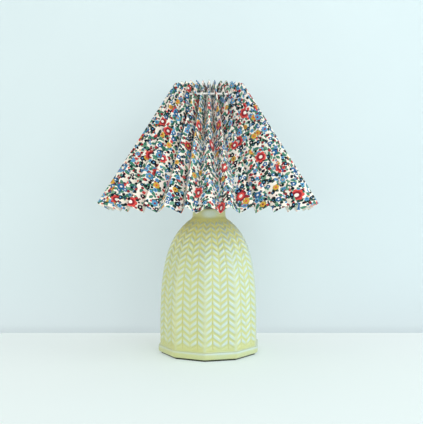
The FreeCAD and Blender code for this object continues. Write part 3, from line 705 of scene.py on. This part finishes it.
# Wire carrier
# A flat steel ring rests on the lower shade ring. Three bent wires are welded to it and carry the wire
# ring that the shade sits on, all coated in white powder.
WELD_RADIUS = 0.0022
WELD_SUNK = 0.0012             # how far inside and under the ring's wire a bead sits
ARM_FOOT = 0.0289              # axis to the foot of an arm
RING_WIRE = 0.0035
powder = uneven_finish(
    "white_powder_coat", (236, 237, 234), (226, 228, 226), 0.006, 0.0005, 0.00006, (0.35, 0.5))
for node in ("carrier_fitter", "carrier_ring", "carrier_arms"):
    dress(node, powder)
low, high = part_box("carrier_ring")
fitter_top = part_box("carrier_fitter")[1].z
beads = (
    (ARM_FOOT, fitter_top, 0.45), (high.x - RING_WIRE - WELD_SUNK, (low.z + high.z) / 2 - WELD_SUNK, 1.0))
weld_mesh = bmesh.new()
for turn in (90, 210, 330):
    outward = Vector((math.cos(math.radians(turn)), math.sin(math.radians(turn)), 0))
    for radius, height, flat in beads:
        spot = Matrix.Translation(outward * radius + Vector((0, 0, height)))
        bmesh.ops.create_icosphere(
            weld_mesh, subdivisions=3, radius=WELD_RADIUS, matrix=spot @ Matrix.Diagonal((1, 1, flat, 1)))
welds = shaped("carrier_welds", weld_mesh)
welds.data.shade_smooth()
place(welds, "carrier", "white_wire", finish=powder)

# Bulb
# A small opal globe lamp: a rolled nickel screw cap, a white housing with the driver inside and a
# diffusing globe. The tip contact and the black glass insulator close the cap's end.
CAP_SWING = 0.00026
CAP_WALL = 0.00025
CAP_FOOT = (0.0004, 0.0012)    # how far the cap draws in at its end, and over what height
CAP_RIM = (0.0015, 0.0006)     # below its top, where the thread ends and where the rim starts
for node, *finish in (
        ("bulb_tip_contact", "solder", (188, 190, 190), (160, 163, 165), 0.001, 0.0003, 0.00005, (0.3, 0.5),
         METAL),
        ("bulb_insulator", "black_glass", (28, 27, 30), (20, 20, 22), 0.004, 0.001, 0.00002, (0.06, 0.14)),
        ("bulb_housing", "white_moulding", (236, 236, 233), (228, 229, 227), 0.008, 0.0006, 0.00004,
         (0.38, 0.5)),
        ("bulb_globe", "opal_globe", (243, 243, 238), (236, 237, 233), 0.02, 0.0008, 0.00001, (0.16, 0.26),
         {"Coat Weight": 0.4, "Coat Roughness": 0.1}),
        ("bulb_lamp_plate", "aluminium_plate", (206, 208, 210), (190, 193, 196), 0.003, 0.0004, 0.00003,
         (0.35, 0.5), METAL),
        ("bulb_driver_board", "green_board", (44, 104, 66), (34, 86, 54), 0.002, 0.0004, 0.00003,
         (0.3, 0.45))):
    dress(node, uneven_finish(*finish))
nickel = uneven_finish(
    "nickel", (205, 202, 194), (186, 184, 178), 0.004, 0.0005, 0.00003, (0.2, 0.36), METAL)
low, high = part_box("bulb_cap")
cap_middle = high.x - CAP_SWING
cap_foot = cap_middle - CAP_FOOT[0]
cap_side = thread_rows(cap_middle, CAP_SWING, low.z + CAP_FOOT[1], high.z - CAP_RIM[0], SHELL_PITCH, 10)
place(turned("bulb_cap_rolled", [
    (cap_foot, low.z, 0), *cap_side, (high.x, high.z - CAP_RIM[1], 0), (high.x, high.z, 0),
    (high.x - 2 * CAP_WALL, high.z, 0),
    *[(radius - CAP_WALL, height, swing) for radius, height, swing in cap_side[::-1]],
    (cap_foot - CAP_WALL, low.z, 0)], 72, SHELL_PITCH),
    "bulb", "nickel", "bulb_cap", finish=nickel)

# Pleated shade
# A straight strip of printed cotton, folded into 36 hand pleats and gathered to a cone. Its cut edges
# are left raw, and a small hole is punched through every panel near the top for the gathering cord.
shade_low, shade_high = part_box("pleated_shade")
PLEATS = 36
PANEL_WIDTH = 0.0150
TOP_RADIUS = 0.0412
HEM_RADIUS = shade_high.y
RIDGE_HEIGHT = 0.1415
CLOTH_THICK = 0.0005
FOLD_SOFTNESS = (0.006, 0.030)  # how round the folds are at the top edge and at the hem
FIRST_FOLD = math.radians(91.5)  # where the strip starts and ends, the inner fold beside the back ridge
FOLD_DRIFT = math.radians(1.35)  # how far the folds wander sideways at the hem
DRIFT_AT_TOP = 0.25            # how much of that they do at the top edge
FOLD_SWELL = 0.0012            # how far the outer folds move in or out at the hem
PANEL_BOW = 0.0007
HOLE_DROP = 0.0157             # top edge to the cord holes
HOLE_RADIUS = 0.0014
HOLE_PLACE = 0.62              # where a hole is, from a panel's inner fold to its outer one
folds = 2 * PLEATS
cone_slope = (HEM_RADIUS - TOP_RADIUS) / RIDGE_HEIGHT
fold_length = math.hypot(RIDGE_HEIGHT, HEM_RADIUS - TOP_RADIUS)
strip_length = folds * PANEL_WIDTH

chance = np.random.default_rng(11)
drift = chance.normal(0, FOLD_DRIFT, folds)
swell = chance.normal(0, FOLD_SWELL, folds)
bow = chance.normal(0, PANEL_BOW, folds)
bow_phase = chance.uniform(0, math.pi, folds)
fold_angle = FIRST_FOLD + math.pi / PLEATS * np.arange(folds)
inner_fold = np.arange(folds) % 2 == 0


def next_fold(angle):
    """The angle of the fold that follows each fold."""
    ahead = np.roll(angle, -1, axis=1)
    ahead[:, -1] += 2 * math.pi
    return ahead


def fold_lines(share):
    """Angle, radius and height of every fold at each share of the way down, as (share, fold) arrays."""
    share = share[:, None]
    angle = fold_angle + drift * (DRIFT_AT_TOP + (1 - DRIFT_AT_TOP) * share ** 1.4)
    ahead = next_fold(angle)
    behind = np.roll(angle, 1, axis=1)
    behind[:, 0] -= 2 * math.pi
    spread = np.tan((ahead - behind) / 4) ** 2
    ridge = TOP_RADIUS + share * (HEM_RADIUS - TOP_RADIUS)
    stretch = 1 + cone_slope ** 2 + spread
    reach = (spread * ridge) ** 2 - stretch * (spread * ridge ** 2 - PANEL_WIDTH ** 2)
    depth = (spread * ridge + np.sqrt(np.maximum(reach, 0))) / stretch
    depth = np.where(inner_fold, depth, 0)
    radius = ridge - depth + swell * share ** 2 * ~inner_fold
    return angle, radius, shade_high.z - share * RIDGE_HEIGHT - depth * cone_slope


# Lines across a panel and down it, with the eight points round each hole moved on to its circle
hole_side = 1.5 * HOLE_PLACE - 0.2
panel_lines = np.array([
    0, 0.03, 0.08, 1 - hole_side, 1 - HOLE_PLACE, 0.43, 0.57, HOLE_PLACE, hole_side, 0.92, 0.97])
hole_lines = np.where(inner_fold, 7, 4)
hole_share = HOLE_DROP / fold_length
drop_lines = np.concatenate([
    [0, 0.03, hole_share - 0.02, hole_share, hole_share + 0.02], np.linspace(0.125, 1, 36)])
hole_row = 3
even_down, even_across = np.meshgrid(drop_lines, np.tile(panel_lines, folds), indexing="ij")
down, across = even_down.copy(), even_across.copy()
panel = np.repeat(np.arange(folds), len(panel_lines))
hole_columns = hole_lines + len(panel_lines) * np.arange(folds)
hole_ring = [(-1, -1), (-1, 0), (-1, 1), (0, 1), (1, 1), (1, 0), (1, -1), (0, -1)]
for step_down, step_across in hole_ring:
    turn = math.atan2(step_down, step_across)
    spot = hole_row + step_down, hole_columns + step_across
    down[spot] = hole_share + HOLE_RADIUS / fold_length * math.sin(turn)
    across[spot] = panel_lines[hole_lines] + HOLE_RADIUS / PANEL_WIDTH * math.cos(turn)


def cloth_points(across, down):
    """Places on the folded strip from shares across each panel and down it."""
    flat = down.ravel()
    steps, back = np.unique(flat, return_inverse=True)
    angle, radius, height = fold_lines(steps)
    which = np.broadcast_to(panel, down.shape).ravel()
    t = across.ravel()
    softness = 1 - (FOLD_SOFTNESS[0] + (FOLD_SOFTNESS[1] - FOLD_SOFTNESS[0]) * flat)
    eased = 0.5 + np.arcsin(softness * np.sin(math.pi * (t - 0.5))) / (2 * np.arcsin(softness))

    def between(first, second, share):
        return first[back, which] * (1 - share) + second[back, which] * share

    turn = between(angle, next_fold(angle), t)
    wide = between(radius, np.roll(radius, -1, axis=1), eased)
    high = between(height, np.roll(height, -1, axis=1), eased)
    return np.stack([wide * np.cos(turn), wide * np.sin(turn), high], axis=-1).reshape(down.shape + (3,))


def facing(points):
    """Unit directions square to a grid of points that closes on itself sideways."""
    along = np.roll(points, -1, axis=1) - np.roll(points, 1, axis=1)
    downward = np.gradient(points, axis=0)
    square = np.cross(downward, along)
    return square / np.linalg.norm(square, axis=-1, keepdims=True)


outward = facing(cloth_points(even_across, even_down))
bulge = bow[panel] * np.sin(math.pi * across) * np.sin(math.pi * down + bow_phase[panel] * down) * down
cloth_middle = cloth_points(across, down) + outward * bulge[..., None]
outer_face = cloth_middle + outward * CLOTH_THICK / 2
inner_face = cloth_middle - outward * CLOTH_THICK / 2
cloth_grid = np.concatenate([outer_face[::-1], inner_face])
grid_rows, grid_columns = cloth_grid.shape[:2]
outer_hole_row = len(drop_lines) - 1 - hole_row
inner_hole_row = len(drop_lines) + hole_row

index, cloth_faces = ring_faces(grid_rows, grid_columns)
kept = np.ones((grid_rows, grid_columns), bool)
for hole in (outer_hole_row, inner_hole_row):
    for step_down in (-1, 0):
        for step_across in (-1, 0):
            kept[hole + step_down, hole_columns + step_across] = False
hole_walls = []
for (down_a, across_a), (down_b, across_b) in zip(hole_ring, hole_ring[1:] + hole_ring[:1]):
    hole_walls.append(np.stack([
        index[outer_hole_row - down_a, hole_columns + across_a],
        index[outer_hole_row - down_b, hole_columns + across_b],
        index[inner_hole_row + down_b, hole_columns + across_b],
        index[inner_hole_row + down_a, hole_columns + across_a]], axis=-1))
cloth_faces = np.concatenate([cloth_faces[kept], *hole_walls])
shade = skin("pleated_shade_cloth", cloth_grid.reshape(-1, 3), cloth_faces, 60)
add_attribute(shade, "inside", np.repeat([0.0, 1.0], len(drop_lines) * grid_columns))

# The print follows the flat strip, in metres along it and down it
along_strip = (panel + across) * PANEL_WIDTH
flat_across = np.concatenate([along_strip[::-1], along_strip]).ravel()
flat_down = np.concatenate([down[::-1], down]).ravel() * fold_length
corner = np.empty(len(shade.data.loops), dtype=np.int64)
shade.data.loops.foreach_get("vertex_index", corner)
corner_across = flat_across[corner].reshape(-1, 4)
wraps = corner_across.max(axis=1) - corner_across.min(axis=1) > strip_length / 2
corner_across[wraps[:, None] & (corner_across < strip_length / 2)] += strip_length
strip_places = np.stack([corner_across.ravel(), flat_down[corner]], axis=-1).astype(np.float32)
shade.data.uv_layers.new(name="strip").data.foreach_set("uv", strip_places.ravel())
trim = bmesh.new()
trim.from_mesh(shade.data)
bmesh.ops.delete(trim, geom=[v for v in trim.verts if not v.link_faces], context="VERTS")
bmesh.ops.recalc_face_normals(trim, faces=trim.faces)
trim.to_mesh(shade.data)
trim.free()

CREAM = srgb(255, 251, 243)
CORAL = srgb(226, 80, 74)
CRIMSON = srgb(152, 30, 46)
PINK = srgb(236, 150, 138)
NAVY = srgb(6, 13, 36)
BLUE = srgb(36, 104, 160)
SKY = srgb(92, 160, 205)
MUSTARD = srgb(214, 170, 64)
LEAF = srgb(54, 126, 104)
DEEP_LEAF = srgb(12, 46, 44)
PALE_LEAF = srgb(116, 168, 140)
PRINT_EDGE = 0.00018           # how far a printed edge bleeds into the cloth
MIDRIB = 0.00018               # half the width of a leaf's midrib
YARN_PITCH = 0.00042


def scattered(cloth, cell, shift, turn):
    """One motif to each cell of a loosened grid: the place seen from the motif's middle, and three random
    numbers of its own."""
    laid = cloth.node("ShaderNodeMapping", None, {
        "Vector": cloth, "Location": shift, "Rotation": (0, 0, turn)})
    cells = laid.node("ShaderNodeTexVoronoi", {"voronoi_dimensions": "2D"}, {
        "Vector": laid, "Scale": 1 / cell, "Randomness": 0.55}).output.node.outputs
    away = laid.node("ShaderNodeVectorMath", {"operation": "SUBTRACT"}, {
        0: laid, 1: Socket(cells["Position"])})
    random = away.node("ShaderNodeSeparateColor", None, {"Color": Socket(cells["Color"])})
    return away, [Socket(output) for output in random.output.node.outputs]


def petals(away, spin, radius, count, notch):
    """Distance inside a flower's edge, and the distance from its middle."""
    x, y, _ = away.axes()
    reach = away.node("ShaderNodeVectorMath", {"operation": "LENGTH"}, {0: away}, result="Value")
    lobe = y.maths("ARCTAN2", x) * (count / 2) + spin * (2 * math.pi)
    wave = lobe.maths("COSINE")
    return radius * (1 - notch + notch * wave.maths("ABSOLUTE")) - reach, reach


def printed(inside):
    """1 inside a printed edge, 0 outside, with the cloth's own small bleed."""
    return inside.ramp(-PRINT_EDGE / 2, PRINT_EDGE / 2)


def palette(number, colours):
    """One of a few colours, picked by a random number."""
    stops = [(k / len(colours), colour) for k, colour in enumerate(colours)]
    return number.node("ShaderNodeValToRGB", {"stops": stops}, {"Fac": number})


def leaves(cloth, under, cell, shift, turn, length, width, colours):
    """A layer of pointed leaves, each turned its own way, with a paler midrib."""
    away, numbers = scattered(cloth, cell, shift, turn)
    turned_away = away.node("ShaderNodeVectorRotate", {"rotation_type": "Z_AXIS"}, {
        "Vector": away, "Angle": numbers[1] * (2 * math.pi)})
    x, y, _ = turned_away.axes()
    along = x / length
    side = y.maths("ABSOLUTE")
    half_width = width * (1 - along * along)
    colour = (0.45 * printed(MIDRIB - side)).mixed(palette(numbers[0], colours), PALE_LEAF)
    return printed(half_width - side).mixed(under, colour)


def blossoms(cloth, under, cell, shift, turn, radius, count, notch, keep, colours, eyes, ring=None):
    """A layer of round-petalled flowers with an eye, and a ring of another colour where one is given."""
    away, numbers = scattered(cloth, cell, shift, turn)
    size = radius * (0.82 + 0.36 * numbers[2])
    inside, reach = petals(away, numbers[1], size, count, notch)
    colour = palette(numbers[0], colours)
    if ring:
        colour = printed(0.62 * size - reach).mixed(colour, palette(numbers[0], ring))
    colour = printed(0.30 * size - reach).mixed(colour, palette(numbers[0], eyes))
    shown = printed(inside) * (1 - (numbers[2] > keep))
    return shown.mixed(under, colour)


def printed_cotton():
    """Close-woven cotton with a small all-over print of leaves, berries and flowers on cream."""
    material, where = new_finish("printed_cotton")
    cloth = where.node("ShaderNodeUVMap", {"uv_map": "strip"})
    design = where.noise(90.0).mixed(CREAM, srgb(249, 240, 226))
    berries = [CORAL, LEAF, NAVY, SKY, PINK, CRIMSON, DEEP_LEAF]
    design = blossoms(
        cloth, design, 0.0044, (0.3, 0.1, 0), 0.4, 0.00112, 3, 0.1, 0.85, berries, berries)
    for layer in (
            (0.0086, (0.7, 0.2, 0), 0.9, 0.0036, 0.0017, [LEAF, DEEP_LEAF, LEAF, PALE_LEAF]),
            (0.0076, (0.1, 0.6, 0), 2.1, 0.0028, 0.0014, [LEAF, DEEP_LEAF, LEAF, LEAF])):
        design = leaves(cloth, design, *layer)
    spots = [NAVY, CRIMSON, NAVY, DEEP_LEAF]
    for layer in (
            (0.0066, (0.5, 0.3, 0), 2.8, 0.00165, 3, 0.1, 0.80, spots, spots),
            (0.0076, (0.4, 0.9, 0), 1.3, 0.00175, 4, 0.24, 0.80,
             [SKY, CRIMSON, NAVY, BLUE, CORAL], [NAVY, CORAL, SKY, CREAM, CRIMSON]),
            (0.0106, (0.9, 0.5, 0), 0.2, 0.0026, 5, 0.24, 0.85,
             [NAVY, SKY, BLUE, SKY, NAVY], [SKY, NAVY, CREAM, CRIMSON, CREAM]),
            (0.0165, (0.2, 0.4, 0), 1.8, 0.0034, 6, 0.24, 0.85,
             [SKY, NAVY, MUSTARD, BLUE, SKY, MUSTARD], [CRIMSON, SKY, CORAL, CREAM, MUSTARD, CRIMSON]),
            (0.0380, (0.6, 0.8, 0), 0.6, 0.0058, 7, 0.24, 1.0,
             [CORAL, CORAL, CRIMSON, CORAL], [CREAM, MUSTARD, CREAM, CREAM],
             [CRIMSON, CRIMSON, CORAL, CRIMSON])):
        design = blossoms(cloth, design, *layer)
    reverse = (where.noise(70.0) * 0.12 + 0.20).mixed(srgb(240, 233, 222), design)
    warp, weft = (axis * (2 * math.pi / YARN_PITCH) for axis in cloth.axes()[:2])
    weave = warp.maths("SINE") * weft.maths("SINE")
    slub = where.noise(420.0, detail=2.0)
    set_finish(material, {
        "Base Color": where.attribute("inside").ramp(0.3, 0.7).mixed(design, reverse),
        "Roughness": 0.82 + 0.12 * slub,
        "Normal": (0.5 + 0.3 * weave + 0.4 * slub).bump(0.00010, 0.6),
        "Sheen Weight": 0.15,
        "Sheen Roughness": 0.5,
        "Specular IOR Level": 0.25,
    })
    return material


place(shade, "shade", "printed_cotton", "pleated_shade", finish=printed_cotton())

# Gathering cord
# A white three-ply cotton cord, laced through the punched holes and drawn up until the strip closes to
# the cone's top.
PLIES = 3
PLY_RADIUS = 0.00066
PLY_OFFSET = 0.00058
LAY_TURNS = 44


def plied_cord_tree():
    """Twists plies round a closed ring, each as a tube of its own."""
    tree, given = new_tree(
        "plied cord", Material=["Yarn"], Int=["Lay Turns", "Plies"],
        Float=["Ring Radius", "Level", "Ply Offset", "Ply Radius"])
    ring = given["Ring Radius"]
    steps = 720
    circle = ring.node("GeometryNodeCurvePrimitiveCircle", None, {"Resolution": steps, "Radius": ring})
    start = ring.node("GeometryNodeMeshLine", None, {"Count": given["Plies"], "Offset": (0, 0, 0)})
    copies = start.node("GeometryNodeInstanceOnPoints", None, {"Points": start, "Instance": circle})
    plain = copies.node("GeometryNodeRealizeInstances", None, {"Geometry": copies})
    index = plain.node("GeometryNodeInputIndex")
    ply = (index / steps).maths("FLOOR")
    share = (index / steps).maths("FRACT")
    around = share * (2 * math.pi)
    twist = (share * given["Lay Turns"] + ply / given["Plies"]) * (2 * math.pi)
    reach = ring + given["Ply Offset"] * twist.maths("COSINE")
    spot = ring.node("ShaderNodeCombineXYZ", None, {
        "X": reach * around.maths("COSINE"), "Y": reach * around.maths("SINE"),
        "Z": given["Level"] + given["Ply Offset"] * twist.maths("SINE")})
    twisted = plain.node("GeometryNodeSetPosition", None, {"Geometry": plain, "Position": spot})
    profile = ring.node("GeometryNodeCurvePrimitiveCircle", None, {
        "Resolution": 8, "Radius": given["Ply Radius"]})
    tube = twisted.node("GeometryNodeCurveToMesh", None, {"Curve": twisted, "Profile Curve": profile})
    end_tree(tree, tube, given["Yarn"])
    return tree


yarn = uneven_finish(
    "white_cotton_cord", (252, 252, 251), (243, 243, 240), 0.002, 0.00025, 0.00008, (0.85, 0.95),
    {"Sheen Weight": 0.2})
cord = added("gather_cord_plied", bpy.data.meshes.new("gather_cord_plied"))
low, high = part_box("gather_cord")
run_tree(cord, plied_cord_tree(), {
    "Ring Radius": high.x - (high.z - low.z) / 2, "Level": (low.z + high.z) / 2, "Ply Offset": PLY_OFFSET,
    "Ply Radius": PLY_RADIUS, "Lay Turns": LAY_TURNS, "Plies": PLIES, "Yarn": yarn,
})
cord.data.shade_smooth()
place(cord, "shade", "white_cord", "gather_cord")

# Table, light and camera
# The lamp stands on a plain white table top, before a pale wall that is only a background. Soft daylight
# comes from the front and the right, with weaker light from the left.
CAMERA_TURN = math.radians(-13.4)
CAMERA_PITCH = math.radians(2.43)
CAMERA_PLACE = (-0.1998, -0.8514, 0.20485)
CAMERA_LENS = 61.68
TABLE_BACK = 0.099             # the table's far edge behind the lamp's axis
STAGE_REACH = 3.0
WALL_BACK = 0.16
LIGHT_AIM = Vector((0, 0, 0.17))


def seen_share(nodes):
    """1 for a ray that shows something, as the camera, a gloss or a glass does, and 0 for one that lights."""
    rays = nodes.new("ShaderNodeLightPath").outputs
    return Socket(rays["Is Camera Ray"]) + Socket(rays["Is Glossy Ray"]) + Socket(rays["Is Transmission Ray"])


def stage_finish(name, paint, colour, glow, one_sided=False):
    """A matt pale surface that takes the lamp's shadow. Seen directly, part of it is its own plain colour.
    A one-sided surface is seen from its front alone, and lets all light through."""
    material, where = new_finish(name)
    nodes = material.node_tree.nodes
    set_finish(material, {
        "Base Color": where.noise(2.0).mixed(paint, colour), "Roughness": 0.6, "Specular IOR Level": 0.2})
    seen = seen_share(nodes)
    lit = Socket(nodes["Principled BSDF"].outputs[0])
    plain = seen.node("ShaderNodeEmission", None, {"Color": colour})
    shown = seen.node("ShaderNodeMixShader", None, {0: seen * glow, 1: lit, 2: plain})
    if one_sided:
        front = seen * (1 - seen.node("ShaderNodeNewGeometry", result="Backfacing"))
        sheer = seen.node("ShaderNodeBsdfTransparent")
        shown = seen.node("ShaderNodeMixShader", None, {0: front, 1: sheer, 2: shown})
    material.node_tree.links.new(shown.output, nodes["Material Output"].inputs["Surface"])
    return material


view_right = Vector((math.cos(CAMERA_TURN), math.sin(CAMERA_TURN), 0))
view_ahead = Vector((-view_right.y, view_right.x, 0))


def stage_sheet(name, near, far, material):
    """A flat piece of the stage between two level lines, each (ahead, up) as the camera sees them."""
    corners = [(-STAGE_REACH, *near), (STAGE_REACH, *near), (STAGE_REACH, *far), (-STAGE_REACH, *far)]
    points = [view_right * right + view_ahead * ahead + Vector((0, 0, up)) for right, ahead, up in corners]
    mesh = bpy.data.meshes.new(name)
    mesh.from_pydata([tuple(point) for point in points], [], [(0, 1, 2, 3)])
    mesh.materials.append(material)
    added(name, mesh)


stage_sheet(
    "table_top", (-STAGE_REACH, 0), (TABLE_BACK, 0),
    stage_finish("white_table_top", srgb(250, 255, 255), srgb(238, 254, 255), 0.35))
stage_sheet(
    "room_wall", (WALL_BACK, -STAGE_REACH), (WALL_BACK, STAGE_REACH),
    stage_finish("pale_wall", srgb(201, 216, 222), srgb(224, 239, 243), 0.35, one_sided=True))

scene = bpy.context.scene
scene.view_settings.view_transform = "Standard"
world = bpy.data.worlds.new("pale_room")
world.use_nodes = True
scene.world = world
ambient = world.node_tree.nodes["Background"]
ambient.inputs["Color"].default_value = (1.0, 0.965, 0.97, 1.0)
ambient.inputs["Strength"].default_value = 0.66
seen = seen_share(world.node_tree.nodes)
far_wall = seen.node("ShaderNodeBackground", None, {"Color": srgb(222, 241, 246), "Strength": 1.0})
shown = seen.node("ShaderNodeMixShader", None, {0: seen, 1: Socket(ambient.outputs[0]), 2: far_wall})
world.node_tree.links.new(shown.output, world.node_tree.nodes["World Output"].inputs["Surface"])

for name, right, ahead, height, wide, tall, watts, colour in (
        ("front_window", 0.90, -1.40, 0.90, 1.2, 1.0, 8.2, (0.90, 1.0, 1.0)),
        ("side_window", 1.70, -0.25, 0.60, 1.0, 1.0, 10.2, (0.87, 1.0, 0.92)),
        ("side_fill", -1.60, -0.35, 0.45, 1.0, 1.0, 5.7, (1.0, 1.0, 0.62)),
        ("low_fill", 0.0, -1.75, 0.16, 1.6, 0.28, 6.6, (1.0, 1.0, 0.93))):
    lamp = bpy.data.lights.new(name, "AREA")
    lamp.energy = watts
    lamp.color = colour
    lamp.shape = "RECTANGLE"
    lamp.size = wide
    lamp.size_y = tall
    lamp_object = added(name, lamp)
    spot = view_right * right + view_ahead * ahead + Vector((0, 0, height))
    lamp_object.location = spot
    lamp_object.rotation_euler = (spot - LIGHT_AIM).to_track_quat("Z", "Y").to_euler()

camera = added("camera", bpy.data.cameras.new("camera"))
camera.data.lens = CAMERA_LENS
camera.location = CAMERA_PLACE
camera.rotation_euler = (math.pi / 2 - CAMERA_PITCH, 0, CAMERA_TURN)
scene.camera = camera
